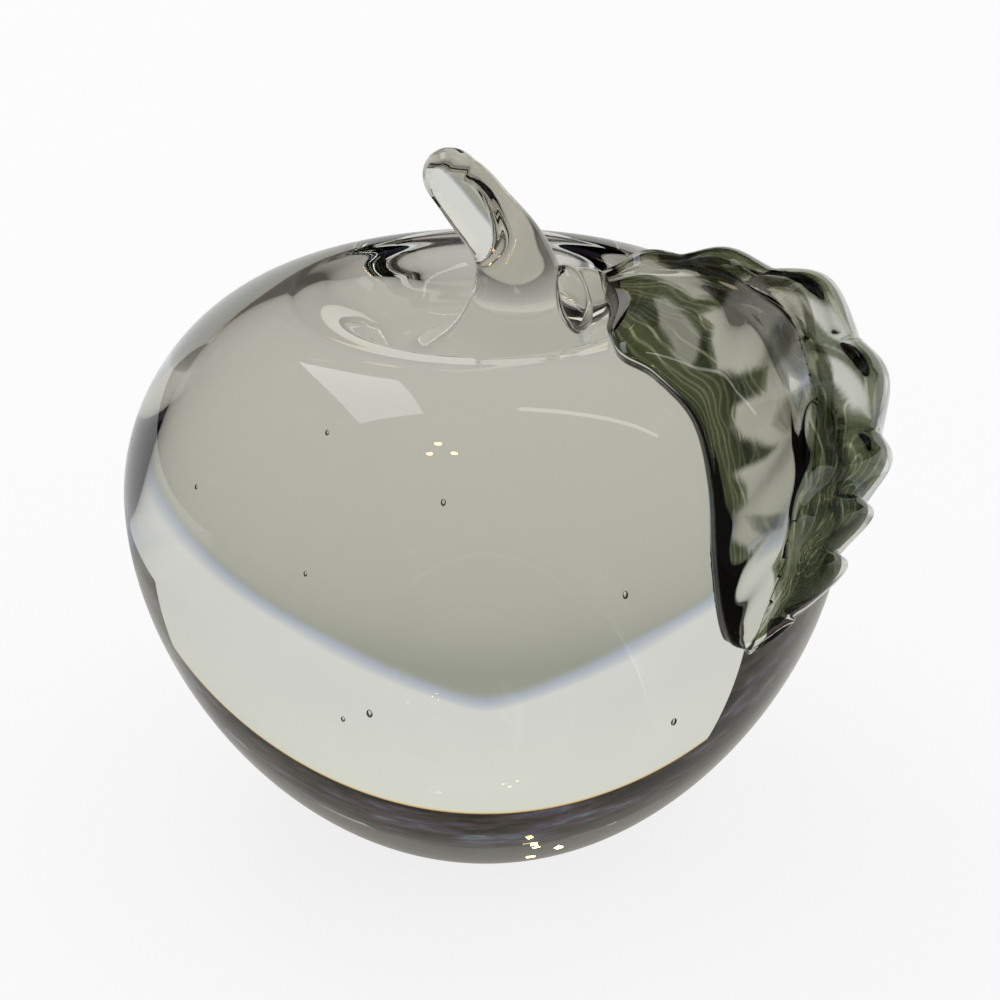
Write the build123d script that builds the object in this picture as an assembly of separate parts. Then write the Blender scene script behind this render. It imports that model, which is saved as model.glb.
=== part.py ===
from build123d import *
import math
import os

# Hand-worked glass apple, a solid paperweight: a clear apple with a stem, and a green
# leaf in clear casing that is hung from the stem by a short pinched stalk.
# Millimetres, +Z up. The origin is the centre of the flat ground base, on the surface
# that the apple rests on. The leaf lies over the +X shoulder and its tip turns to -Y.
# A run is a length along the apple's outline from the crown ring, down the outside.

# Apple body: a turned form with a dimple in its top
body_diameter = 120.0
body_height = 94.0
widest_height = 60.5
base_diameter = 43.0
crown_diameter = 63.0
dimple_depth = 18.5

# Stem: a drawn horn of glass whose foot runs out into the dimple
stem_rise = 24.0
stem_lean = 6.2
stem_offset = 4.8
stem_diameter = 12.8
stem_foot_diameter = 38.0

# Leaf stalk: a short pinched nub between the stem and the leaf
stalk_diameter = 11.6
stalk_height = 1.2
stalk_front_step = 5.0

# Leaf: a thick ribbed leaf laid over the shoulder, a green core cased in clear glass
leaf_drop = 55.5
leaf_thickness = 6.2
left_edge_lift = 3.0
crest_lift = 5.8
right_edge_lift = 9.4
rib_height = 1.1
ruffle_height = 0.9
valley_depth = 1.4
casing_wall = 1.3


# The apple's outline: three curves in the XZ plane, from the base out, up and into the dimple

belly_handle_shares = (0.471, 0.126, 0.429)
shoulder_handle_shares = (0.545, 0.461)
dimple_handle_shares = (0.497, 0.396)


def outline_curves():
    widest = body_diameter / 2
    base = base_diameter / 2
    crown = crown_diameter / 2
    floor = body_height - dimple_depth
    out_share, up_share, down_share = belly_handle_shares
    belly = Bezier(
        (base, 0, 0),
        (base + out_share * (widest - base), 0, up_share * widest_height),
        (widest, 0, widest_height - down_share * widest_height),
        (widest, 0, widest_height),
    )
    up_share, out_share = shoulder_handle_shares
    shoulder = Bezier(
        (widest, 0, widest_height),
        (widest, 0, widest_height + up_share * (body_height - widest_height)),
        (crown + out_share * (widest - crown), 0, body_height),
        (crown, 0, body_height),
    )
    in_share, out_share = dimple_handle_shares
    dimple = Bezier(
        (crown, 0, body_height),
        (crown - in_share * crown, 0, body_height),
        (out_share * crown, 0, floor),
        (0, 0, floor),
    )
    return belly, shoulder, dimple


belly_curve, shoulder_curve, dimple_curve = outline_curves()
outline = Wire([belly_curve, shoulder_curve, dimple_curve])
crown_at = belly_curve.length + shoulder_curve.length


def over_body(run, turn, lift):
    """The point a lift above the apple, at a run from the crown ring and a turn from +X to -Y."""
    place = outline.position_at(crown_at - run, position_mode=PositionMode.LENGTH)
    tangent = outline.tangent_at(crown_at - run, position_mode=PositionMode.LENGTH)
    radius = place.X + lift * tangent.Z
    height = place.Z - lift * tangent.X
    angle = math.radians(-turn)
    return Vector(radius * math.cos(angle), radius * math.sin(angle), height)


def make_body():
    base_line = Line((0, 0, 0), (base_diameter / 2, 0, 0))
    axis_line = Line((0, 0, body_height - dimple_depth), (0, 0, 0))
    section = make_face([base_line, belly_curve, shoulder_curve, dimple_curve, axis_line])
    return revolve(section, Axis.Z)


# The stem's rings. Foot: offset share of stem_offset, depth share of the dimple, radius share
# of the foot. Horn: offset share of stem_offset, lean share, height share of the rise, radius
# share of the stem, tilt in degrees.

foot_ring_shares = (
    (0.50, 1.10, 1.00),
    (0.50, 0.82, 1.00),
    (0.55, 0.64, 0.94),
    (0.67, 0.49, 0.76),
    (0.83, 0.31, 0.54),
    (0.96, 0.16, 0.44),
)
horn_ring_shares = (
    (1.00, 0.00, 0.02, 1.13, 0),
    (1.00, 0.00, 0.15, 1.06, 4),
    (1.00, 0.06, 0.26, 1.00, 14),
    (0.85, 0.32, 0.43, 0.86, 35),
    (0.55, 0.53, 0.56, 0.78, 40),
    (0.25, 0.70, 0.68, 0.74, 39),
    (0.11, 0.86, 0.77, 0.71, 38),
    (0.00, 1.00, 0.84, 0.68, 37),
)


def make_stem_blank():
    rings = []
    for offset_share, depth_share, radius_share in foot_ring_shares:
        centre = Vector(offset_share * stem_offset, 0, body_height - depth_share * dimple_depth)
        rings.append(Wire.make_circle(radius_share * stem_foot_diameter / 2, Plane(centre)))
    for offset_share, lean_share, height_share, radius_share, tilt in horn_ring_shares:
        across = offset_share * stem_offset - lean_share * stem_lean
        centre = Vector(across, 0, body_height + height_share * stem_rise)
        radius = radius_share * stem_diameter / 2
        rings.append(Wire.make_circle(radius, Plane(centre).rotated((0, -tilt, 0))))
    tip = Pos(centre) * Sphere(radius)
    return Solid.make_loft(rings) + tip


# The leaf's three guide lines over the apple, each row a share of the leaf's length from base
# to tip, a share of leaf_drop, a turn in degrees and a share of the line's own lift

left_edge_shares = (
    (0.00, -0.225, -4, 1.13),
    (0.06, -0.135, 36, 1.07),
    (0.15, 0.036, 54.5, 1.00),
    (0.27, 0.171, 52.5, 1.00),
    (0.39, 0.324, 50.5, 1.00),
    (0.51, 0.505, 53, 1.00),
    (0.63, 0.667, 55.3, 1.00),
    (0.75, 0.793, 55.5, 1.00),
    (0.87, 0.901, 54.3, 1.00),
    (0.95, 0.973, 52.3, 1.00),
    (1.00, 1.000, 50.5, 1.00),
)
crest_shares = (
    (0.00, -0.225, -8, 0.72),
    (0.06, -0.180, 2, 0.79),
    (0.15, -0.090, 14, 0.80),
    (0.27, 0.054, 20, 0.81),
    (0.39, 0.216, 26, 0.98),
    (0.51, 0.396, 33, 1.00),
    (0.63, 0.559, 40, 1.00),
    (0.75, 0.676, 45, 0.93),
    (0.87, 0.802, 48.5, 0.79),
    (0.95, 0.919, 50, 0.62),
    (1.00, 0.996, 50, 0.52),
)
right_edge_shares = (
    (0.00, -0.225, -12, 0.43),
    (0.06, -0.162, -11, 0.43),
    (0.15, -0.054, -9, 0.43),
    (0.27, 0.144, -10, 0.47),
    (0.39, 0.369, -5, 1.00),
    (0.51, 0.568, 7, 0.96),
    (0.63, 0.712, 17, 0.70),
    (0.75, 0.784, 26, 0.53),
    (0.87, 0.865, 34, 0.43),
    (0.95, 0.946, 42, 0.34),
    (1.00, 0.991, 49, 0.32),
)
# The leaf's base lies inside the crown ring: its row above and its reach in shares of that ring
base_run_share = 0.225
base_reach_share = 0.3964
crest_across_share = 0.42
left_fall_bend = 1.3
vein_first_share = 0.15
vein_step_share = 0.12
lobe_turn = 6.5
lobe_middle_share = 0.6
lobe_bend = 0.7
lobe_start_share = 0.1
lobe_growth_share = 0.2
lobe_fade_share = 0.1
swell_bend = 0.6
valley_reach_share = 0.8
ruffle_bend = 1.2
end_thickness_share = 0.62
thickness_bend = 0.7
edge_roundness = 2.4
nose_share = 0.09


def along_line(rows, along):
    """The row of a guide line at a share of the leaf's length, eased smoothly between its rows."""
    last = len(rows) - 2
    index = min(sum(1 for row in rows[1:] if row[0] < along), last)
    here, following = rows[index], rows[index + 1]
    before, beyond = rows[max(index - 1, 0)], rows[min(index + 2, last + 1)]
    span = following[0] - here[0]
    step = (along - here[0]) / span
    values = []
    for column in range(1, len(here)):
        slope_in = span * (following[column] - before[column]) / (following[0] - before[0])
        slope_out = span * (beyond[column] - here[column]) / (beyond[0] - here[0])
        rise = following[column] - here[column]
        bend = 3 * rise - 2 * slope_in - slope_out
        twist = slope_in + slope_out - 2 * rise
        values.append(here[column] + step * (slope_in + step * (bend + step * twist)))
    return values


def clamp(value):
    return min(max(value, 0), 1)


def leaf_middle(along, across):
    """The leaf's middle skin: across runs from -1 at the left edge to 1 at the right edge."""
    left = along_line(left_edge_shares, along)
    crest = along_line(crest_shares, along)
    right = along_line(right_edge_shares, along)
    share = (across + 1) / 2
    peak = crest_across_share
    weights = (
        (share - peak) * (share - 1) / peak,
        share * (1 - share) / (peak * (1 - peak)),
        share * (share - peak) / (1 - peak),
    )
    run_share = sum(weight * line[0] for weight, line in zip(weights, (left, crest, right)))
    inside = clamp(-run_share / base_run_share) ** 2
    base_reach = base_reach_share * crown_diameter / 2
    run = leaf_drop * run_share + (leaf_drop * base_run_share - base_reach) * inside
    turn = sum(weight * line[1] for weight, line in zip(weights, (left, crest, right)))
    vein = math.pi * (along - vein_first_share) / vein_step_share
    lobe = lobe_turn * (abs(math.cos(vein)) ** lobe_bend - lobe_middle_share)
    growth = clamp((along - lobe_start_share) / lobe_growth_share)
    fade = clamp((1 - along) / lobe_fade_share)
    turn -= lobe * growth * fade * clamp(across) ** 2
    near = clamp((peak - share) / peak)
    far = clamp((share - peak) / (1 - peak))
    swell = math.sin(math.pi * clamp(along)) ** swell_bend
    lift = crest_lift * crest[2]
    if share < peak:
        lift += (left_edge_lift * left[2] - lift) * near ** left_fall_bend
    else:
        lift += (right_edge_lift * right[2] - lift) * far
        lift -= valley_depth * swell * math.sin(math.pi * clamp(far / valley_reach_share)) ** 2
    lift += rib_height * swell * math.sin(math.pi * near) * math.cos(2 * vein)
    lift += ruffle_height * swell * math.sin(math.pi * far / 2) ** ruffle_bend * math.cos(2 * vein)
    return run, turn, lift


def leaf_half_thickness(along):
    fullness = math.sin(math.pi * along) ** thickness_bend
    return leaf_thickness / 2 * (end_thickness_share + (1 - end_thickness_share) * fullness)


# Places across a leaf section, from the right edge over the top to the left edge, and the
# stations of the sections along the leaf, whose first and last are flat

across_shares = (0.96, 0.86, 0.68, 0.48, 0.24, 0, -0.24, -0.48, -0.7, -0.86, -0.96)
end_station_shares = (0.005, 0.015, 0.035)
inner_station_share = 0.065
inner_station_count = 32


def section_wire(along, point_at, is_flat):
    """One closed section in two halves, the top skin and the under skin, that meet at the edges."""
    right = point_at(along, 1, 0)
    left = point_at(along, -1, 0)
    top = [right] + [point_at(along, across, 1) for across in across_shares] + [left]
    under = [left] + [point_at(along, across, -1) for across in reversed(across_shares)] + [right]
    if is_flat:
        upward = point_at(along, 0, 1) - point_at(along, 0, -1)
        plane = Plane(left, x_dir=right - left, z_dir=(right - left).cross(upward))
        top = [point - plane.z_dir * (point - left).dot(plane.z_dir) for point in top]
        under = [point - plane.z_dir * (point - left).dot(plane.z_dir) for point in under]
    knots = [index / (len(top) - 1) for index in range(len(top))]
    return Wire([Edge.make_spline(top, parameters=knots), Edge.make_spline(under, parameters=knots)])


def make_leaf_solid(point_at):
    inner_length_share = 1 - 2 * inner_station_share
    inner_stations = [
        inner_station_share + inner_length_share * index / (inner_station_count - 1)
        for index in range(inner_station_count)
    ]
    tip_stations = [1 - share for share in reversed(end_station_shares)]
    stations = list(end_station_shares) + inner_stations + tip_stations
    sections = [section_wire(along, point_at, False) for along in stations]
    sections[0] = section_wire(stations[0], point_at, True)
    sections[-1] = section_wire(stations[-1], point_at, True)
    return Solid.make_loft(sections)


def rounded_ends(along):
    """Narrows the leaf to a round nose at both ends."""
    base_side = 1 - clamp(along / nose_share)
    tip_side = 1 - clamp((1 - along) / nose_share)
    return math.sqrt(1 - max(base_side, tip_side) ** 2)


def casing_point(along, across, side):
    ends = rounded_ends(along)
    run, turn, lift = leaf_middle(along, across * ends)
    edge = math.sqrt(1 - abs(across) ** (2 * edge_roundness))
    return over_body(run, turn, lift + side * ends * edge * leaf_half_thickness(along))


# The green core inside the casing: it stops short of the casing's ends and edges

core_start_share = 0.075
core_length_share = 0.885
core_left_share = 0.92
core_right_share = 0.84


def core_point(along, across, side):
    ends = rounded_ends(along)
    place = core_start_share + core_length_share * along
    width_share = core_right_share if across > 0 else core_left_share
    run, turn, lift = leaf_middle(place, across * ends * width_share)
    edge = math.sqrt(1 - abs(across) ** (2 * edge_roundness))
    thickness = leaf_half_thickness(place) - casing_wall
    return over_body(run, turn, lift + side * ends * edge * thickness)


# The stalk's rings between the stem and the leaf: place share of its length and radius share

stalk_ring_shares = (
    (0.00, 0.80),
    (0.25, 0.90),
    (0.48, 1.00),
    (0.62, 0.99),
    (0.74, 0.84),
    (0.88, 0.78),
    (1.00, 0.62),
)
stalk_end_share = 0.045


def make_stalk_blank():
    start = Vector(stem_offset, -stalk_front_step, body_height - stalk_height)
    end = over_body(*leaf_middle(stalk_end_share, 0))
    run = end - start
    rings = []
    for place_share, radius_share in stalk_ring_shares:
        plane = Plane(start + run * place_share, z_dir=run)
        rings.append(Wire.make_circle(radius_share * stalk_diameter / 2, plane))
    return Solid.make_loft(rings)


apple_body = make_body()
stem_blank = make_stem_blank()
stalk_blank = make_stalk_blank()
leaf_blank = make_leaf_solid(casing_point)
leaf_core = make_leaf_solid(core_point)

stem = stem_blank - apple_body
leaf_stalk = stalk_blank - stem_blank - apple_body
leaf_casing = leaf_blank - leaf_core - stalk_blank

pieces = {
    "apple_body": apple_body,
    "stem": stem,
    "leaf_stalk": leaf_stalk,
    "leaf_casing": leaf_casing,
    "leaf_core": leaf_core,
}

os.makedirs("parts", exist_ok=True)
for name, piece in pieces.items():
    piece.label = name
    export_step(piece, f"parts/{name}.step")
    print(name, round(piece.volume), "cubic mm")
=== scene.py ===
import math

import bmesh
import bpy
from mathutils import Matrix, Vector, noise
from mathutils.bvhtree import BVHTree


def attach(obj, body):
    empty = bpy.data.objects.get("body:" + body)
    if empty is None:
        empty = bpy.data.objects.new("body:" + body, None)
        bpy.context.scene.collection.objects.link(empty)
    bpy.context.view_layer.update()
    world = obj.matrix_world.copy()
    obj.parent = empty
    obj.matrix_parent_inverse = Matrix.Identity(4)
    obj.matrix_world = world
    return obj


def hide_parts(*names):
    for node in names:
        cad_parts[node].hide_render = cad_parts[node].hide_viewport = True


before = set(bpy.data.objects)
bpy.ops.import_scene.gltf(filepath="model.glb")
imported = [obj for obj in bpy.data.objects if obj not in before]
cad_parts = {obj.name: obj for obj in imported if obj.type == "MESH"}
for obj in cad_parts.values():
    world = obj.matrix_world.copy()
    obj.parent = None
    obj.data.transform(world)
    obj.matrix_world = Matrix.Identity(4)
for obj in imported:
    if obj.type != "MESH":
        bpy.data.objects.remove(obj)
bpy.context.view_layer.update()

mm = 0.001


# Colour, nodes and small sums

def toLinear(hexColour):
    channels = [int(hexColour[at:at + 2], 16) / 255 for at in (0, 2, 4)]
    return [c / 12.92 if c <= 0.04045 else ((c + 0.055) / 1.055) ** 2.4 for c in channels] + [1]


def addNode(tree, kind, settings=None, links=None):
    node = tree.nodes.new(kind)
    for key, value in (settings or {}).items():
        if key == "stops":
            elements = node.color_ramp.elements
            while len(elements) < len(value):
                elements.new(0.5)
            for element, (position, hexColour) in zip(elements, value):
                element.position = position
                element.color = toLinear(hexColour)
        elif isinstance(key, str) and hasattr(node, key):
            setattr(node, key, value)
        else:
            node.inputs[key].default_value = value
    for key, source in (links or {}).items():
        socket = source.outputs[0] if isinstance(source, bpy.types.Node) else source
        tree.links.new(socket, node.inputs[key])
    return node


def newMaterial(name):
    material = bpy.data.materials.new(name)
    material.use_nodes = True
    material.node_tree.nodes.clear()
    return material, material.node_tree


def clamp(value):
    return min(max(value, 0), 1)


def bezierPoint(points, t):
    a, b, c, d = (Vector(point) for point in points)
    return a * (1 - t) ** 3 + b * 3 * t * (1 - t) ** 2 + c * 3 * t * t * (1 - t) + d * t ** 3


def easedRow(rows, at):
    # the values at a place between the rows, on a smooth curve through them
    last = len(rows) - 2
    index = min(sum(1 for row in rows[1:] if row[0] < at), last)
    here, following = rows[index], rows[index + 1]
    before, beyond = rows[max(index - 1, 0)], rows[min(index + 2, last + 1)]
    span = following[0] - here[0]
    step = (at - here[0]) / span
    values = []
    for column in range(1, len(here)):
        slopeIn = span * (following[column] - before[column]) / (following[0] - before[0])
        slopeOut = span * (beyond[column] - here[column]) / (beyond[0] - here[0])
        rise = following[column] - here[column]
        bend = 3 * rise - 2 * slopeIn - slopeOut
        twist = slopeIn + slopeOut - 2 * rise
        values.append(here[column] + step * (slopeIn + step * (bend + step * twist)))
    return values


# Glass

glass = {
    "ior": 1.52,
    "clearTint": "F4F3EE",
    "coreDark": "404836",
    "coreTint": "687053",
    "coreLine": "B6BBA0",
    "coreClear": "EFF0EA",
    "waveSize": 26 * mm,
    "waveHeight": 0.03 * mm,
    "streakWander": 9 * mm,
    "wanderShare": 0.35,
    "finePerStreak": 7.5,
    "fineFrom": 0.72,  # only the crests of the fine folds show as lines
    "fineWeight": 0.75,
    "broadPerStreak": 1.7,
    "broadWeight": 0.5,
}


def clearGlassMaterial():
    # Soda-lime art glass, gathered hot and fire polished: clear, very slightly warm, with a
    # bright skin whose low waves bend what is seen through it
    material, tree = newMaterial("firePolishedClearGlass")
    place = addNode(tree, "ShaderNodeTexCoord")
    waves = addNode(tree, "ShaderNodeTexNoise", {"Scale": 1 / glass["waveSize"], "Detail": 1.5},
                    {"Vector": place.outputs["Object"]})
    bump = addNode(tree, "ShaderNodeBump", {"Strength": 1, "Distance": glass["waveHeight"]},
                   {"Height": waves})
    shader = addNode(tree, "ShaderNodeBsdfPrincipled", {
        "Base Color": toLinear(glass["clearTint"]), "Roughness": 0.0, "IOR": glass["ior"],
        "Transmission Weight": 1.0}, {"Normal": bump})
    addNode(tree, "ShaderNodeOutputMaterial", None, {"Surface": shader})
    return material


def fusedSeamMaterial():
    # The same glass where two hot gathers have melted into one: no skin is left to see
    material, tree = newMaterial("fusedGlassSeam")
    shader = addNode(tree, "ShaderNodeBsdfPrincipled", {
        "Alpha": 0.0, "Transmission Weight": 1.0, "IOR": glass["ior"], "Roughness": 0.0})
    addNode(tree, "ShaderNodeOutputMaterial", None, {"Surface": shader})
    return material


def greenGlassMaterial():
    # Olive green glass folded in thin layers under the clear casing: dark where it lies thick,
    # pale in fine lines where two folds meet, gone in the clear windows. It has no skin of its
    # own, so it only colours the light: its IOR against the casing is 1
    material, tree = newMaterial("streakedGreenGlass")
    place = addNode(tree, "ShaderNodeTexCoord")
    wander = addNode(tree, "ShaderNodeTexNoise", {"Scale": 1 / glass["streakWander"], "Detail": 1.0},
                     {"Vector": place.outputs["Object"]})
    share = addNode(tree, "ShaderNodeAttribute", {"attribute_name": "greenShare"})
    streaks = addNode(tree, "ShaderNodeAttribute", {"attribute_name": "streakPlace"})
    bent = addNode(tree, "ShaderNodeMath", {"operation": "MULTIPLY_ADD", 1: glass["wanderShare"]},
                   {0: wander, 2: streaks.outputs["Fac"]})
    folds = []
    for key in ("finePerStreak", "broadPerStreak"):
        scaled = addNode(tree, "ShaderNodeMath", {"operation": "MULTIPLY", 1: glass[key] * math.tau},
                         {0: bent})
        folds.append(addNode(tree, "ShaderNodeMath", {"operation": "SINE"}, {0: scaled}))
    fine = addNode(tree, "ShaderNodeMapRange", {
        "From Min": glass["fineFrom"], "From Max": 1.0, "To Max": glass["fineWeight"]}, {0: folds[0]})
    broad = addNode(tree, "ShaderNodeMapRange", {
        "From Min": -1.0, "From Max": 1.0, "To Max": glass["broadWeight"]}, {0: folds[1]})
    tone = addNode(tree, "ShaderNodeMath", {"operation": "ADD"}, {0: fine, 1: broad})
    green = addNode(tree, "ShaderNodeValToRGB", {"stops": (
        (0.0, glass["coreDark"]), (0.5, glass["coreTint"]), (0.95, glass["coreLine"]))}, {0: tone})
    colour = addNode(tree, "ShaderNodeMix", {"data_type": "RGBA", 6: toLinear(glass["coreClear"])},
                     {0: share.outputs["Fac"], 7: green})
    shader = addNode(tree, "ShaderNodeBsdfPrincipled", {
        "Roughness": 0.0, "IOR": 1.0, "Transmission Weight": 1.0}, {"Base Color": colour.outputs[2]})
    addNode(tree, "ShaderNodeOutputMaterial", None, {"Surface": shader})
    return material


clearGlass = clearGlassMaterial()
fusedSeam = fusedSeamMaterial()
greenGlass = greenGlassMaterial()
seamSlot = 1  # the seam is the second material of each piece that has one
print("glass mixed")


# Pieces

def newPiece(name, bm, materials, node):
    mesh = bpy.data.meshes.new(name)
    bm.to_mesh(mesh)
    bm.free()
    for material in materials:
        mesh.materials.append(material)
    piece = bpy.data.objects.new(name, mesh)
    bpy.context.scene.collection.objects.link(piece)
    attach(piece, "root")
    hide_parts(node)
    return piece


def ringMatrix(centre, radius, tilt=0.0):
    return (Matrix.Translation(centre) @ Matrix.Rotation(math.radians(-tilt), 4, "Y")
            @ Matrix.Diagonal((radius, radius, 1, 1)))


def shrunk(ring, share):
    return ring @ Matrix.Diagonal((share, share, 1, 1))


def ringSkin(rings, segments):
    # a skin drawn through the rings, with each strip's faces and the edges that it ends at
    bm = bmesh.new()
    bmesh.ops.create_circle(bm, cap_ends=False, radius=1, segments=segments, matrix=rings[0])
    firstEdges = edges = list(bm.edges)
    strips = []
    for before, after in zip(rings, rings[1:]):
        grown = bmesh.ops.extrude_edge_only(bm, edges=edges)["geom"]
        verts = [item for item in grown if isinstance(item, bmesh.types.BMVert)]
        faces = [item for item in grown if isinstance(item, bmesh.types.BMFace)]
        bmesh.ops.transform(bm, matrix=after @ before.inverted(), verts=verts)
        own = set(verts)
        edges = [item for item in grown if isinstance(item, bmesh.types.BMEdge)
                 and item.verts[0] in own and item.verts[1] in own]
        strips.append((faces, edges))
    return bm, firstEdges, strips


def closeEnds(bm, firstEdges, strips):
    # caps both ends and returns the faces of the first and of the last cap
    first = bmesh.ops.contextual_create(bm, geom=firstEdges)["faces"]
    last = bmesh.ops.contextual_create(bm, geom=strips[-1][1])["faces"]
    for face in bm.faces:
        face.smooth = True
    return first, last


# Apple body: gathered, blocked round, its top pushed in for the dimple, its base ground flat

apple = {
    "diameter": 120 * mm,
    "height": 94 * mm,
    "widestHeight": 60.5 * mm,
    "baseDiameter": 43 * mm,
    "crownDiameter": 63 * mm,
    "dimpleDepth": 18.5 * mm,
    "bellyHandles": (0.471, 0.126, 0.429),
    "shoulderHandles": (0.545, 0.461),
    "dimpleHandles": (0.497, 0.396),
    "outlineSteps": 400,
    "segments": 288,
    "baseShares": (0.02, 0.3, 0.6, 0.85, 0.97),
    "bellyRings": 96,
    "shoulderRings": 66,
    "dimpleRings": 40,
    "seamReach": 0.25 * mm,
    "seamCuts": 3,
    # bubbles caught in the glass: place and width in mm
    "bubbles": (
        (-6, -49, 79, 0.8), (20, -52, 66, 0.9), (-17, -52, 47, 1.0), (-21, -50, 45, 0.7),
        (28, -46, 42, 1.0), (-23, -38, 85, 0.7), (-26, -49, 68, 0.6), (-43, -32, 74, 0.6),
    ),
    "bubbleStretch": 1.5,
    "waveHeight": 0.12 * mm,
    "waveSize": 42 * mm,
    "waveFade": 8 * mm,  # the ground base stays flat
    "waveSeed": 7,  # without it the waves differ from run to run
}


def appleCurves():
    widest, base, crown = (apple[key] / 2 for key in ("diameter", "baseDiameter", "crownDiameter"))
    top, middle, floor = apple["height"], apple["widestHeight"], apple["height"] - apple["dimpleDepth"]
    outShare, upShare, downShare = apple["bellyHandles"]
    belly = ((base, 0), (base + outShare * (widest - base), upShare * middle),
             (widest, middle - downShare * middle), (widest, middle))
    upShare, outShare = apple["shoulderHandles"]
    shoulder = ((widest, middle), (widest, middle + upShare * (top - middle)),
                (crown + outShare * (widest - crown), top), (crown, top))
    inShare, outShare = apple["dimpleHandles"]
    dimple = ((crown, top), (crown - inShare * crown, top), (outShare * crown, floor), (0, floor))
    return belly, shoulder, dimple


bellyCurve, shoulderCurve, dimpleCurve = appleCurves()


def outlineTable(steps):
    # length along the outline and the point there, from the base up, over the crown and in
    rows = []
    length = 0
    for curve in (bellyCurve, shoulderCurve, dimpleCurve):
        for step in range(steps + 1):
            if rows and step == 0:
                continue
            point = bezierPoint(curve, step / steps)
            if rows:
                length += math.dist(point, rows[-1][1])
            rows.append((length, point))
    return rows


outline = outlineTable(apple["outlineSteps"])
outlineLengths = [row[0] for row in outline]
crownAt = outlineLengths[2 * apple["outlineSteps"]]


def overBody(run, turn, lift):
    # the point at a run down from the crown, a turn in degrees and a lift off the apple's skin
    at = crownAt - run
    low, high = 0, len(outline) - 1
    while high - low > 1:
        middle = (low + high) // 2
        if outlineLengths[middle] > at:
            high = middle
        else:
            low = middle
    share = (at - outlineLengths[low]) / (outlineLengths[high] - outlineLengths[low])
    point = outline[low][1].lerp(outline[high][1], share)
    before = (outline[low][1] - outline[max(low - 2, 0)][1]).normalized()
    ahead = (outline[min(high + 2, len(outline) - 1)][1] - outline[high][1]).normalized()
    tangent = before.lerp(ahead, share).normalized()
    radius, height = point.x + lift * tangent.y, point.y - lift * tangent.x
    angle = math.radians(-turn)
    return Vector((radius * math.cos(angle), radius * math.sin(angle), height))


# Leaf: a thick sheet of green glass cased in clear, pinched into lobes and laid over the shoulder

leaf = {
    "drop": 55.5 * mm,
    "thickness": 6.2 * mm,
    "leftLift": 1.5 * mm,
    "crestLift": 4.9 * mm,
    "rightLift": 9.4 * mm,
    "ribHeight": 0.12 * mm,
    "ruffleHeight": 0.9 * mm,
    "valleyDepth": 1.4 * mm,
    "wall": 1.1 * mm,
    "crestAcross": 0.42,
    "leftFall": 1.3,
    "valleyReach": 0.8,
    "ruffleRise": 1.2,
    "swellPower": 0.6,
    "veinFirst": 0.15,
    "veinStep": 0.12,
    "lobeTurn": 6.5,
    "lobeRoundness": 0.7,
    "lobeMiddle": 0.6,
    "lobeFadeIn": (0.1, 0.3),
    "lobeFadeOut": 0.1,
    "endThickness": 0.62,
    "thickPower": 0.7,
    "roundness": 3.2,
    "nose": 0.09,
    "coreStart": 0.04,
    "coreLength": 0.93,
    "coreLeft": 0.985,
    "coreRight": 0.84,
    "ringsAlong": 220,
    "pointsRound": 208,
    "acrossShare": 0.4,
    "pressedShare": 0.35,
    "pressedAcross": (0.4, 0.6),
    "fusedFade": 0.10,
    "fusedRim": (0.15, 0.25),
    "fusedStart": (0.06, 0.06),
    "windowSoftness": 0.009,
    "spotShare": 0.6,
    "streakSpread": 1.2,
    "streakBend": (0.15, 5),
    "swirlSize": 0.055,
    "swirlDepth": 0.45,
}

# Guide lines over the apple: share of the length, run share, turn in degrees and lift share
leftEdge = (
    (0.00, -0.225, -4, 1.13), (0.06, -0.135, 36, 1.07), (0.15, 0.036, 54.5, 1.00),
    (0.27, 0.171, 52.5, 1.00), (0.39, 0.324, 50.5, 1.00), (0.51, 0.505, 53, 1.00),
    (0.63, 0.667, 55.3, 1.00), (0.75, 0.793, 55.5, 1.00), (0.87, 0.901, 54.3, 1.00),
    (0.95, 0.973, 52.3, 1.00), (1.00, 1.000, 50.5, 1.00),
)
crestLine = (
    (0.00, -0.225, -8, 0.72), (0.06, -0.180, 2, 0.79), (0.15, -0.090, 14, 0.80),
    (0.27, 0.054, 20, 0.83), (0.39, 0.216, 26, 0.98), (0.51, 0.396, 33, 0.90),
    (0.63, 0.559, 40, 0.82), (0.75, 0.676, 45, 0.75), (0.87, 0.802, 48.5, 0.64),
    (0.95, 0.919, 50, 0.50), (1.00, 0.996, 50, 0.42),
)
rightEdge = (
    (0.00, -0.225, -12, 0.43), (0.06, -0.162, -11, 0.43), (0.15, -0.054, -9, 0.43),
    (0.27, 0.144, -10, 0.47), (0.39, 0.369, -5, 1.00), (0.51, 0.568, 7, 0.96),
    (0.63, 0.712, 17, 0.70), (0.75, 0.784, 26, 0.53), (0.87, 0.865, 34, 0.43),
    (0.95, 0.946, 42, 0.34), (1.00, 0.991, 49, 0.32),
)
# The leaf has melted into the apple to the left of this line: share of the length, across
fusedLine = (
    (0.00, 0.72), (0.20, 0.72), (0.33, 0.64), (0.43, 0.50), (0.50, 0.38), (0.63, 0.27),
    (0.80, 0.20), (0.90, 0.26), (1.00, 0.34),
)


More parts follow.
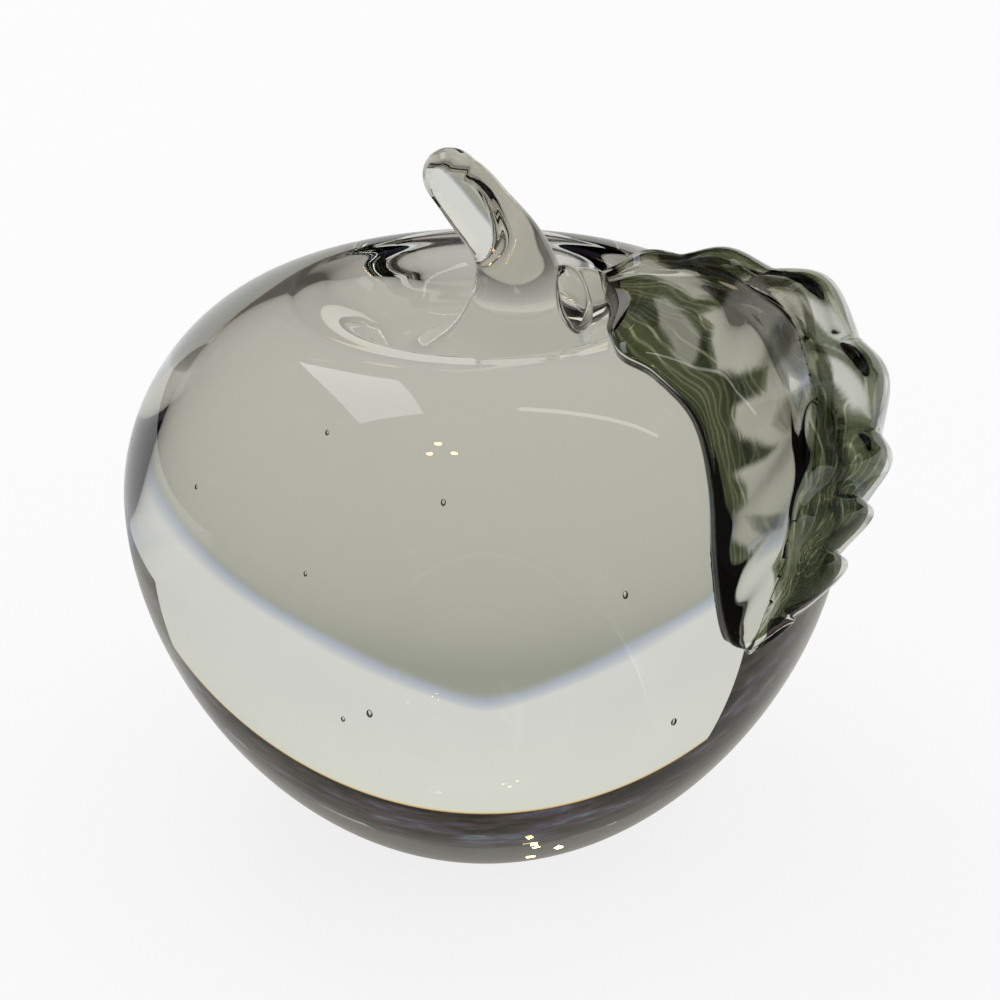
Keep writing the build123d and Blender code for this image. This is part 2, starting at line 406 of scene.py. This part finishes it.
def leafMiddle(along, across):
    # the leaf's middle surface: along from base to tip, across from -1 on the left edge to 1
    left, crest, right = (easedRow(rows, along) for rows in (leftEdge, crestLine, rightEdge))
    share = (across + 1) / 2
    peak = leaf["crestAcross"]
    weights = ((share - peak) * (share - 1) / peak, share * (1 - share) / (peak * (1 - peak)),
               share * (share - peak) / (1 - peak))
    run = leaf["drop"] * sum(w * line[0] for w, line in zip(weights, (left, crest, right)))
    turn = sum(w * line[1] for w, line in zip(weights, (left, crest, right)))
    vein = math.pi * (along - leaf["veinFirst"]) / leaf["veinStep"]
    lobe = leaf["lobeTurn"] * (abs(math.cos(vein)) ** leaf["lobeRoundness"] - leaf["lobeMiddle"])
    fadeFrom, fadeTo = leaf["lobeFadeIn"]
    lobe *= clamp((along - fadeFrom) / (fadeTo - fadeFrom)) * clamp((1 - along) / leaf["lobeFadeOut"])
    turn -= lobe * clamp(across) ** 2
    near = clamp((peak - share) / peak)
    far = clamp((share - peak) / (1 - peak))
    swell = math.sin(math.pi * clamp(along)) ** leaf["swellPower"]
    lift = leaf["crestLift"] * crest[2]
    if share < peak:
        lift += (leaf["leftLift"] * left[2] - lift) * near ** leaf["leftFall"]
    else:
        lift += (leaf["rightLift"] * right[2] - lift) * far
        lift -= leaf["valleyDepth"] * swell * math.sin(math.pi * clamp(far / leaf["valleyReach"])) ** 2
    ruffle = math.sin(math.pi * far / 2) ** leaf["ruffleRise"]
    lift += leaf["ribHeight"] * swell * math.sin(math.pi * near) * math.cos(2 * vein)
    lift += leaf["ruffleHeight"] * swell * ruffle * math.cos(2 * vein)
    return run, turn, lift


def halfThickness(along):
    thin = leaf["endThickness"]
    swell = max(math.sin(math.pi * along), 0) ** leaf["thickPower"]
    return leaf["thickness"] / 2 * (thin + (1 - thin) * swell)


def roundedEnds(along):
    baseSide = 1 - clamp(along / leaf["nose"])
    tipSide = 1 - clamp((1 - along) / leaf["nose"])
    return math.sqrt(max(1 - max(baseSide, tipSide) ** 2, 0))


def roundedSides(across):
    return math.sqrt(max(1 - abs(across) ** (2 * leaf["roundness"]), 0))


def fusedShare(along, across, side):
    # 1 where the leaf's underside has melted into the apple, 0 at its rim and where it stands free
    if side > 0:
        return 0
    limit = easedRow(fusedLine, along)[0]
    rimFrom, rimWidth = leaf["fusedRim"]
    startFrom, startWidth = leaf["fusedStart"]
    share = clamp((roundedSides(across) * roundedEnds(along) - rimFrom) / rimWidth)
    share *= clamp(1 - (across - limit) / leaf["fusedFade"])
    share *= clamp((along - startFrom) / startWidth)
    return share * share * (3 - 2 * share)


def pressedHalf(along, across):
    # half the thickness, less on the left side, which was pressed down on the apple
    pressFrom, pressWidth = leaf["pressedAcross"]
    return halfThickness(along) * (1 - leaf["pressedShare"] * clamp((pressFrom - across) / pressWidth))


def casingPoint(along, across, side):
    ends = roundedEnds(along)
    run, turn, lift = leafMiddle(along, across * ends)
    lift += side * ends * roundedSides(across) * pressedHalf(along, across)
    return overBody(run, turn, lift * (1 - fusedShare(along, across, side)))


def corePlace(along, across):
    # a place in the core as a place in the leaf
    width = leaf["coreRight"] if across > 0 else leaf["coreLeft"]
    return leaf["coreStart"] + leaf["coreLength"] * along, across * roundedEnds(along) * width


def corePoint(along, across, side):
    place = corePlace(along, across)
    run, turn, lift = leafMiddle(*place)
    half = pressedHalf(place[0], across) - leaf["wall"]
    return overBody(run, turn, lift + side * roundedEnds(along) * roundedSides(across) * half)


# Where the green thins out to clear glass: how clear, and an outline of (along, across)
clearWindows = (
    (1.0, ((0.29, -0.43), (0.33, -0.45), (0.34, -0.57), (0.38, -0.70), (0.42, -0.55), (0.45, -0.24),
           (0.48, -0.38), (0.45, -0.68), (0.47, -0.74), (0.50, -0.70), (0.55, -0.47), (0.57, -0.32),
           (0.57, -0.50), (0.54, -0.80), (0.58, -0.70), (0.61, -0.70), (0.61, -0.88), (0.65, -0.84),
           (0.72, -0.63), (0.74, -0.60), (0.75, -0.75), (0.75, -0.90), (0.86, -0.93), (0.96, -0.92),
           (0.97, -0.30), (0.95, 0.10), (0.92, 0.24), (0.89, 0.12), (0.83, -0.15), (0.80, -0.02),
           (0.70, -0.03), (0.63, 0.02), (0.56, 0.12), (0.50, 0.22), (0.43, 0.37), (0.36, 0.52),
           (0.33, 0.66), (0.32, 0.40), (0.33, -0.20))),
    (1.0, ((0.38, 0.50), (0.40, 0.60), (0.42, 0.76), (0.46, 0.84), (0.49, 0.66), (0.46, 0.56),
           (0.43, 0.48), (0.40, 0.43))),
    (1.0, ((0.47, 0.42), (0.49, 0.56), (0.52, 0.68), (0.56, 0.80), (0.555, 0.54), (0.52, 0.35))),
    (0.9, ((0.10, 0.60), (0.14, 0.90), (0.26, 0.17), (0.31, -0.11), (0.27, -0.30), (0.20, -0.10),
           (0.13, 0.20))),
    (0.5, ((0.18, -0.47), (0.21, -0.38), (0.26, -0.50), (0.31, -0.57), (0.33, -0.73),
           (0.33, -0.83), (0.29, -0.84), (0.22, -0.72))),
)
# Green again in the middle of the clear lobes
greenSpots = (
    ((0.40, 0.36), (0.43, 0.34), (0.46, 0.05), (0.46, -0.18), (0.44, -0.28), (0.42, -0.10)),
    ((0.51, 0.10), (0.53, 0.12), (0.56, -0.04), (0.56, -0.22), (0.53, -0.36), (0.51, -0.22)),
    ((0.64, -0.66), (0.69, -0.36), (0.71, -0.18), (0.74, -0.20), (0.73, -0.40), (0.69, -0.56)),
)
# The folds curl round these places (along, across)
swirls = ((0.651, 0.52), (0.755, 0.50), (0.820, 0.42))


def insideDepth(shape, along, across):
    # how far inside a shape a place lies, below nought outside, in shares of the leaf's length
    nearest, inside = 1e9, False
    margin = leaf["windowSoftness"]
    if along < min(x for x, _ in shape) - margin or along > max(x for x, _ in shape) + margin:
        return -margin
    wide = leaf["acrossShare"]
    y, x = across * wide, along
    for index, (nextX, nextY) in enumerate(shape):
        lastX, lastY = shape[index - 1]
        lastY, nextY = lastY * wide, nextY * wide
        if (lastY > y) != (nextY > y) and x < lastX + (nextX - lastX) * (y - lastY) / (nextY - lastY):
            inside = not inside
        runX, runY = nextX - lastX, nextY - lastY
        step = clamp(((x - lastX) * runX + (y - lastY) * runY) / (runX * runX + runY * runY))
        nearest = min(nearest, math.hypot(x - lastX - step * runX, y - lastY - step * runY))
    return nearest if inside else -nearest


def greenShare(along, across):
    soft = leaf["windowSoftness"]
    clear = max(share * clamp(0.5 + insideDepth(shape, along, across) / soft)
                for share, shape in clearWindows)
    if clear > 0:
        spot = max(clamp(0.5 + insideDepth(shape, along, across) / soft) for shape in greenSpots)
        clear -= leaf["spotShare"] * spot
    return 1 - clamp(clear)


def streakPlace(along, across):
    # the folds run along the left edge and curl round the lobes of the right one
    height, bends = leaf["streakBend"]
    field = leaf["streakSpread"] * math.sqrt(max(1 + across, 0)) + height * math.sin(bends * along)
    for swirlAlong, swirlAcross in swirls:
        away = math.hypot(along - swirlAlong, (across - swirlAcross) * leaf["acrossShare"])
        field += leaf["swirlDepth"] * math.exp(-(away / leaf["swirlSize"]) ** 2)
    return field


def makeLeafPart(name, pointAt, materials, node):
    # a ball whose poles become the leaf's base and tip, each point moved to its place
    bm = bmesh.new()
    bmesh.ops.create_uvsphere(bm, u_segments=leaf["pointsRound"], v_segments=leaf["ringsAlong"],
                              radius=1)
    greenLayer = bm.verts.layers.float.new("greenShare")
    streakLayer = bm.verts.layers.float.new("streakPlace")
    fused = set()
    for vert in bm.verts:
        ring = math.hypot(vert.co.x, vert.co.y)
        along = (1 - vert.co.z) / 2
        across = vert.co.x / ring if ring > 1e-9 else 0
        side = 0 if abs(vert.co.y) <= 1e-7 else math.copysign(1, vert.co.y)
        vert.co = pointAt(along, across, side)
        if pointAt is corePoint:
            place = corePlace(along, across)
            vert[greenLayer] = greenShare(*place)
            vert[streakLayer] = streakPlace(*place)
        elif fusedShare(along, across, side) > 0.999:
            fused.add(vert)
    for face in bm.faces:
        face.smooth = True
        if all(vert in fused for vert in face.verts):
            face.material_index = seamSlot
    if bm.calc_volume(signed=True) < 0:
        bmesh.ops.reverse_faces(bm, faces=bm.faces)
    return newPiece(name, bm, materials, node)


leafCasing = makeLeafPart("leafCasing", casingPoint, [clearGlass, fusedSeam], "leaf_casing")
makeLeafPart("leafCore", corePoint, [greenGlass], "leaf_core")
print("leaf made")


def fusedPatch(piece):
    # the faces of the leaf that have melted into the apple, for looking up from the apple's skin
    mesh = piece.data
    faces = [face.vertices for face in mesh.polygons if face.material_index == seamSlot]
    return BVHTree.FromPolygons([vert.co for vert in mesh.vertices], faces)


underLeaf = fusedPatch(leafCasing)


# Stem: a drawn horn whose foot runs out into the dimple

stem = {
    "seamPlace": 0.40,
    "seamShares": (0.8, 0.5, 0.2, 0.02),
    "rings": 110,
    "tipRings": 30,
    "tipRound": 1.12,
    "tipClosed": 30.3,  # a little past the last ring, so that the cap has an edge
}
# Rings of the dimple and of the stem that rises from it: a place along the skin, the centre's x
# and z, the radius and the tilt. The seam between body and stem is at the dimple's lowest ring.
stemRings = (
    (0.00, 0.0, 94.0, 31.5, 0),
    (0.10, 0.0, 93.3, 26.4, 0),
    (0.20, 0.1, 91.0, 21.9, 0),
    (0.28, 0.4, 88.4, 18.8, 1),
    (0.34, 1.0, 86.3, 17.1, 3),
    (0.38, 1.7, 85.3, 15.9, 4),
    (0.42, 2.5, 85.1, 14.8, 4),
    (0.46, 3.4, 85.8, 13.3, 4),
    (0.52, 4.8, 88.2, 11.1, 3),
    (0.58, 5.5, 91.1, 9.3, 1),
    (0.63, 5.6, 94.2, 7.9, 1),
    (0.68, 5.2, 97.8, 6.9, 6),
    (0.73, 4.4, 100.9, 6.15, 17),
    (0.79, 2.3, 104.4, 5.6, 31),
    (0.85, -0.4, 107.8, 5.3, 36),
    (0.91, -2.6, 110.7, 5.1, 37),
    (0.96, -4.1, 112.5, 4.85, 39),
    (1.00, -5.1, 113.5, 4.6, 40),
)


def skinRing(place):
    x, z, radius, tilt = easedRow(stemRings, place)
    return ringMatrix((x * mm, 0, z * mm), radius * mm, tilt)


def fadeWaves(bm):
    # low waves of the fire-polished skin
    for vert in bm.verts:
        fade = clamp(vert.co.z / apple["waveFade"])
        vert.co += noise.noise_vector(vert.co / apple["waveSize"]) * apple["waveHeight"] * fade


def markMeltedPatch(bm):
    # cuts the skin finer along the rim of the melted patch, then marks the patch as seam
    reach = apple["seamReach"]
    for _ in range(apple["seamCuts"]):
        under = {vert for vert in bm.verts if underLeaf.find_nearest(vert.co, reach)[0]}
        rim = [edge for edge in bm.edges if (edge.verts[0] in under) != (edge.verts[1] in under)]
        around = dict.fromkeys(edge for edge in rim for face in edge.link_faces for edge in face.edges)
        bmesh.ops.subdivide_edges(bm, edges=list(around), cuts=1, use_grid_fill=True)
    for face in bm.faces:
        if underLeaf.find_nearest(face.calc_center_median(), reach)[0]:
            face.material_index = seamSlot


def addBubbles(bm):
    # the walls of a bubble face into its air
    for x, y, z, width in apple["bubbles"]:
        place = (Matrix.Translation((x * mm, y * mm, z * mm))
                 @ Matrix.Diagonal((1, 1, apple["bubbleStretch"], 1)))
        bubble = bmesh.ops.create_icosphere(bm, subdivisions=3, radius=width * mm / 2, matrix=place)
        walls = {face for vert in bubble["verts"] for face in vert.link_faces}
        for face in walls:
            face.smooth = True
        bmesh.ops.reverse_faces(bm, faces=list(walls))


def makeBody():
    base = apple["baseDiameter"] / 2
    rings = [ringMatrix((0, 0, 0), base * share) for share in apple["baseShares"]]
    rings.append(ringMatrix((0, 0, 0), base))
    baseEdge = len(apple["baseShares"]) - 2  # the strip that ends just inside the ground rim
    for curve, count in ((bellyCurve, apple["bellyRings"]), (shoulderCurve, apple["shoulderRings"])):
        for step in range(1, count + 1):
            radius, height = bezierPoint(curve, step / count)
            rings.append(ringMatrix((0, 0, height), radius))
    upTo = apple["dimpleRings"]
    for step in range(1, upTo + 1):
        rings.append(skinRing(stem["seamPlace"] * step / upTo))
    seamAt = len(rings) - 1
    rings += [shrunk(rings[seamAt], share) for share in stem["seamShares"]]
    bm, firstEdges, strips = ringSkin(rings, apple["segments"])
    caps = closeEnds(bm, firstEdges, strips)
    for faces in [strip[0] for strip in strips[seamAt:]] + [caps[1]]:
        for face in faces:
            face.material_index = seamSlot
    for edge in strips[seamAt - 1][1] + strips[baseEdge][1]:
        edge.smooth = False
    markMeltedPatch(bm)
    fadeWaves(bm)
    bmesh.ops.recalc_face_normals(bm, faces=bm.faces)
    addBubbles(bm)
    return newPiece("appleBody", bm, [clearGlass, fusedSeam], "apple_body")


def makeStem():
    start, count = stem["seamPlace"], stem["rings"]
    rings = [shrunk(skinRing(start), share) for share in reversed(stem["seamShares"])]
    seamRings = len(rings)
    rings += [skinRing(start + (1 - start) * step / count) for step in range(count + 1)]
    end = rings[-1]
    tipHeight = easedRow(stemRings, 1)[2] * stem["tipRound"] * mm
    for step in range(1, stem["tipRings"] + 1):
        angle = math.radians(90 * step / stem["tipClosed"])
        rings.append(shrunk(end @ Matrix.Translation((0, 0, math.sin(angle) * tipHeight)), math.cos(angle)))
    bm, firstEdges, strips = ringSkin(rings, apple["segments"])
    caps = closeEnds(bm, firstEdges, strips)
    for faces in [strip[0] for strip in strips[:seamRings]] + [caps[0]]:
        for face in faces:
            face.material_index = seamSlot
    for edge in strips[seamRings - 1][1]:
        edge.smooth = False
    fadeWaves(bm)
    bmesh.ops.recalc_face_normals(bm, faces=bm.faces)
    return newPiece("drawnStem", bm, [clearGlass, fusedSeam], "stem")


noise.seed_set(apple["waveSeed"])
makeBody()
makeStem()
print("apple and stem made")


# Stalk: a short nub pinched between the stem and the leaf

stalk = {
    "diameter": 11.6 * mm,
    "start": (4.8 * mm, -5.0 * mm, 92.8 * mm),
    "endShare": 0.045,
    "rings": 60,
    "segments": 96,
}
# place on the line from inside the stem to the leaf, and share of the diameter
stalkRings = (
    (0.40, 0.10), (0.42, 0.45), (0.46, 0.74), (0.52, 0.93), (0.58, 1.00), (0.65, 0.98),
    (0.74, 0.86), (0.86, 0.78), (1.00, 0.62),
)


def makeStalk():
    start = Vector(stalk["start"])
    run = overBody(*leafMiddle(stalk["endShare"], 0)) - start
    turn = run.to_track_quat("Z", "Y").to_matrix().to_4x4()
    nub = stalkRings[0][0]
    rings = []
    for step in range(stalk["rings"] + 1):
        at = nub + (1 - nub) * step / stalk["rings"]
        radius = easedRow(stalkRings, at)[0] * stalk["diameter"] / 2
        rings.append(shrunk(Matrix.Translation(start + run * at) @ turn, radius))
    bm, firstEdges, strips = ringSkin(rings, stalk["segments"])
    closeEnds(bm, firstEdges, strips)
    bmesh.ops.recalc_face_normals(bm, faces=bm.faces)
    return newPiece("leafStalk", bm, [clearGlass], "leaf_stalk")


makeStalk()
print("stalk made")


# Stage: a white floor, which glass shows as a grey table with a pale wall behind it in a dim room

stage = {
    "cameraShare": 0.8,  # the rest of the floor's look is its own light and shadow
    "floorGap": 0.15 * mm,
    "floorHalf": 3.0,
    # the table darker towards the front, with painted shade where the apple's shadow falls round its base
    "tableFrontAndPaintedShade": "56544F",
    "tableNear": "D0CEC7",
    "tableFar": "A2A69A",
    "edgeShade": "B9C2D0",
    "wallLow": "E2E4E2",
    "wallHigh": "ECEEE6",
    "wallTrim": "F6DC9C",
    "wallRail": "A8844E",
    "tableFrontAt": -70 * mm,
    "tableNearAt": 30 * mm,
    "tableFarAt": 230 * mm,
    "tableBack": 60 * mm,
    "tableReach": 340 * mm,
    "tableHalfWidth": 37 * mm,
    "edgeBlur": (0.74, 1.4),
    "edgeStep": 0.25,
    "wallAt": 1.0,
    "wallLeft": -0.63,
    "wallRight": 1.35,
    "wallTop": 0.345,
    "lampHeight": 1.5,
    "windowLight": ("F4F8FF", 2.6),
    "windowCorners": ((-0.80, 1.40), (-0.31, 1.00), (-0.295, 0.15), (-0.71, 0.04)),
    "slitLight": ("F4F4EE", 3.0),
    "slitCorners": ((0.14, 0.21), (0.16, 0.28), (1.2, 0.0), (1.2, -0.04)),
    "bulbLight": ("FFD08A", 34.0),
    "bulbHalf": 0.021,
    "bulbs": ((-0.28, -0.336), (-0.358, -0.48), (-0.195, -0.4825)),
    # things in the room behind the wall, seen only through the glass: azimuth and elevation from
    # the apple, half width and half height in degrees, colour, strength
    "farThings": (
        ("shelfCard", 31, 41, 6, 2.5, "D8DAD9", 0.9), ("lampCard", -9, 40.5, 1.6, 1.0, "FFDFA0", 1.6),
        ("coverCard", 47, 27, 3, 1.2, "9AA0B4", 0.7), ("doorCard", -22, 44, 3, 1.0, "8EA7A0", 0.8),
    ),
    "farAway": 1.3,
    "roomLevel": 0.9,
    "roomStops": ((0.42, "0C0B09"), (0.52, "3C322C"), (0.59, "4C4258"), (0.66, "5A6E70"), (0.82, "C4C4BE")),
    "roomFlatness": 2.6,
    "roomPatches": 4.2,
    "roomFront": "64625E",  # the side behind the camera is plain
    "roomFrontFrom": 0.15,
    "roomFrontTo": -0.3,
}


def bentRays(tree):
    # rays that a skin of glass has bent or mirrored, and those with the camera's own
    ray = addNode(tree, "ShaderNodeLightPath")
    bent = addNode(tree, "ShaderNodeMath", {"operation": "MAXIMUM"},
                   {0: ray.outputs["Is Glossy Ray"], 1: ray.outputs["Is Transmission Ray"]})
    seen = addNode(tree, "ShaderNodeMath", {"operation": "MAXIMUM"},
                   {0: ray.outputs["Is Camera Ray"], 1: bent.outputs[0]})
    return bent.outputs[0], seen.outputs[0]


def stageMaterial(name, glassColour):
    # white card for the camera, and what the glass shows there
    material, tree = newMaterial(name)
    bent, seen = bentRays(tree)
    share = addNode(tree, "ShaderNodeMath", {"operation": "MULTIPLY", 1: stage["cameraShare"]}, {0: seen})
    share = addNode(tree, "ShaderNodeMath", {"operation": "MAXIMUM"}, {0: share, 1: bent})
    place = addNode(tree, "ShaderNodeTexCoord")
    parts = addNode(tree, "ShaderNodeSeparateXYZ", None, {0: place.outputs["Object"]})
    colour = addNode(tree, "ShaderNodeMix", {"data_type": "RGBA", 6: (1, 1, 1, 1)},
                     {0: bent, 7: glassColour(tree, parts)})
    lit = addNode(tree, "ShaderNodeBsdfDiffuse", {"Color": (0.9, 0.9, 0.9, 1)})
    plain = addNode(tree, "ShaderNodeEmission", {"Strength": 1.0}, {"Color": colour.outputs[2]})
    both = addNode(tree, "ShaderNodeMixShader", None, {0: share, 1: lit, 2: plain})
    addNode(tree, "ShaderNodeOutputMaterial", None, {"Surface": both})
    return material


def tableColour(tree, parts):
    # grey table, whose far edge comes nearer on both sides, and the pale wall's foot past it; towards the
    # front the table darkens, with painted shade of the apple's shadow round its base
    x, y = parts.outputs[0], parts.outputs[1]
    aside = addNode(tree, "ShaderNodeMath", {"operation": "DIVIDE", 1: stage["tableHalfWidth"]}, {0: x})
    aside = addNode(tree, "ShaderNodeMath", {"operation": "MULTIPLY_ADD", 2: 1.0}, {0: aside, 1: aside})
    edge = addNode(tree, "ShaderNodeMath", {"operation": "DIVIDE", 0: stage["tableReach"]}, {1: aside})
    edge = addNode(tree, "ShaderNodeMath", {"operation": "ADD", 1: stage["tableBack"]}, {0: edge})
    past = addNode(tree, "ShaderNodeMath", {"operation": "DIVIDE"}, {0: y, 1: edge})
    blurFrom, blurTo = stage["edgeBlur"]
    past = addNode(tree, "ShaderNodeMapRange", {"From Min": blurFrom, "From Max": blurTo}, {0: past})
    front, near, far = (stage[key] for key in ("tableFrontAt", "tableNearAt", "tableFarAt"))
    depth = addNode(tree, "ShaderNodeMapRange", {"From Min": front, "From Max": far}, {0: y})
    # the front stop is painted shade: the apple's shadow painted on the table under and in front of it
    table = addNode(tree, "ShaderNodeValToRGB", {"stops": (
        (0, stage["tableFrontAndPaintedShade"]), ((near - front) / (far - front), stage["tableNear"]),
        (1, stage["tableFar"]))}, {0: depth})
    pale = addNode(tree, "ShaderNodeValToRGB", {"stops": (
        (0, stage["tableFar"]), (0.38, stage["edgeShade"]), (1, stage["wallLow"]))}, {0: past})
    share = addNode(tree, "ShaderNodeMapRange", {"From Max": stage["edgeStep"]}, {0: past})
    return addNode(tree, "ShaderNodeMix", {"data_type": "RGBA"}, {0: share, 6: table, 7: pale}).outputs[2]


def wallColour(tree, parts):
    # pale wall with a warm trim and a rail along its top
    height = addNode(tree, "ShaderNodeMapRange", {"From Max": stage["wallTop"]}, {0: parts.outputs[2]})
    return addNode(tree, "ShaderNodeValToRGB", {"stops": (
        (0, stage["wallLow"]), (0.85, stage["wallHigh"]), (0.955, stage["wallHigh"]),
        (0.975, stage["wallTrim"]), (1.0, stage["wallRail"]))}, {0: height}).outputs[0]


def lampMaterial(name, colour, strength):
    material, tree = newMaterial(name)
    light = addNode(tree, "ShaderNodeEmission", {"Color": toLinear(colour), "Strength": strength})
    addNode(tree, "ShaderNodeOutputMaterial", None, {"Surface": light.outputs[0]})
    return material


def stageCard(name, material, corners):
    bm = bmesh.new()
    bmesh.ops.contextual_create(bm, geom=[bm.verts.new(corner) for corner in corners])
    mesh = bpy.data.meshes.new(name)
    bm.to_mesh(mesh)
    bm.free()
    mesh.materials.append(material)
    card = bpy.data.objects.new(name, mesh)
    bpy.context.scene.collection.objects.link(card)
    return card


def ceilingCard(name, light, corners):
    high = [(x, y, stage["lampHeight"]) for x, y in corners]
    return stageCard(name, lampMaterial(name, *light), high)


def oblong(x, y, wide, high):
    return [(x - wide, y - high), (x + wide, y - high), (x + wide, y + high), (x - wide, y + high)]


def setStage():
    low, half = -stage["floorGap"], stage["floorHalf"]
    stageCard("paleFloor", stageMaterial("paleFloor", tableColour),
              [(x, y, low) for x, y in oblong(0, 0, half, half)])
    left, right, back, top = (stage[key] for key in ("wallLeft", "wallRight", "wallAt", "wallTop"))
    stageCard("paleWall", stageMaterial("paleWall", wallColour),
              ((left, back, low), (right, back, low), (right, back, top), (left, back, top)))
    ceilingCard("windowCard", stage["windowLight"], stage["windowCorners"])
    glints = [ceilingCard("slitCard", stage["slitLight"], stage["slitCorners"])]
    for index, (x, y) in enumerate(stage["bulbs"]):
        corners = oblong(x, y, stage["bulbHalf"], stage["bulbHalf"])
        glints.append(ceilingCard("bulbCard%d" % index, stage["bulbLight"], corners))
    away = stage["farAway"]
    for name, azimuth, elevation, wide, high, colour, strength in stage["farThings"]:
        corners = []
        for x, y in oblong(azimuth, elevation, wide, high):
            aside, up = math.radians(x), math.radians(y)
            corners.append((away * math.sin(aside) * math.cos(up), away * math.cos(aside) * math.cos(up),
                            away * math.sin(up)))
        glints.append(stageCard(name, lampMaterial(name, colour, strength), corners))
    for glint in glints:
        glint.visible_diffuse = False  # they show in the glass and light nothing


def setWorld():
    # an even light, and for the glass a dim room with patches of colour
    world = bpy.data.worlds.new("dimRoom")
    bpy.context.scene.world = world
    world.use_nodes = True
    tree = world.node_tree
    tree.nodes.clear()
    bent, seen = bentRays(tree)
    place = addNode(tree, "ShaderNodeTexCoord")
    parts = addNode(tree, "ShaderNodeSeparateXYZ", None, {0: place.outputs["Generated"]})
    layers = addNode(tree, "ShaderNodeMapping", {"Scale": (1, 1, stage["roomFlatness"])},
                     {"Vector": place.outputs["Generated"]})
    patches = addNode(tree, "ShaderNodeTexNoise", {
        "Scale": stage["roomPatches"], "Detail": 3.0, "Roughness": 0.7}, {"Vector": layers})
    behind = addNode(tree, "ShaderNodeMapRange", {
        "From Min": stage["roomFrontFrom"], "From Max": stage["roomFrontTo"]}, {0: parts.outputs[1]})
    room = addNode(tree, "ShaderNodeValToRGB", {"stops": stage["roomStops"]}, {0: patches})
    room = addNode(tree, "ShaderNodeMix", {"data_type": "RGBA", 7: toLinear(stage["roomFront"])},
                   {0: behind, 6: room})
    level = stage["roomLevel"]
    plain = addNode(tree, "ShaderNodeMix", {
        "data_type": "RGBA", 6: (level, level, level, 1), 7: (1, 1, 1, 1)}, {0: seen})
    colour = addNode(tree, "ShaderNodeMix", {"data_type": "RGBA"},
                     {0: bent, 6: plain.outputs[2], 7: room.outputs[2]})
    light = addNode(tree, "ShaderNodeBackground", {"Strength": 1.0}, {"Color": colour.outputs[2]})
    addNode(tree, "ShaderNodeOutputWorld", None, {"Surface": light.outputs[0]})


setStage()
setWorld()
print("stage set")


# Camera: held above the table and looking down at the apple

view = {
    "place": (0, -0.3775, 0.2291),
    "tiltDown": 26,
    "sensorWidth": 36,
    "lens": 88.8,
    "clipStart": 0.01,
    "focalPixels": 2467.2,
    "asidePixels": 14.5,
    "upPixels": 66.5,
}


def setCamera():
    camera = bpy.data.cameras.new("camera")
    camera.sensor_width = view["sensorWidth"]
    camera.lens = view["lens"]
    camera.clip_start = view["clipStart"]
    viewer = bpy.data.objects.new("camera", camera)
    viewer.location = view["place"]
    tilt = math.radians(view["tiltDown"])
    forward = Vector((0, math.cos(tilt), -math.sin(tilt)))
    upward = Vector((0, math.sin(tilt), math.cos(tilt)))
    sideways = Vector((1, 0, 0))
    aim = forward + (sideways * view["asidePixels"] + upward * view["upPixels"]) / view["focalPixels"]
    viewer.rotation_euler = aim.to_track_quat("-Z", "Y").to_euler()
    bpy.context.scene.collection.objects.link(viewer)
    bpy.context.scene.camera = viewer
    bpy.context.scene.view_settings.view_transform = "Standard"


setCamera()
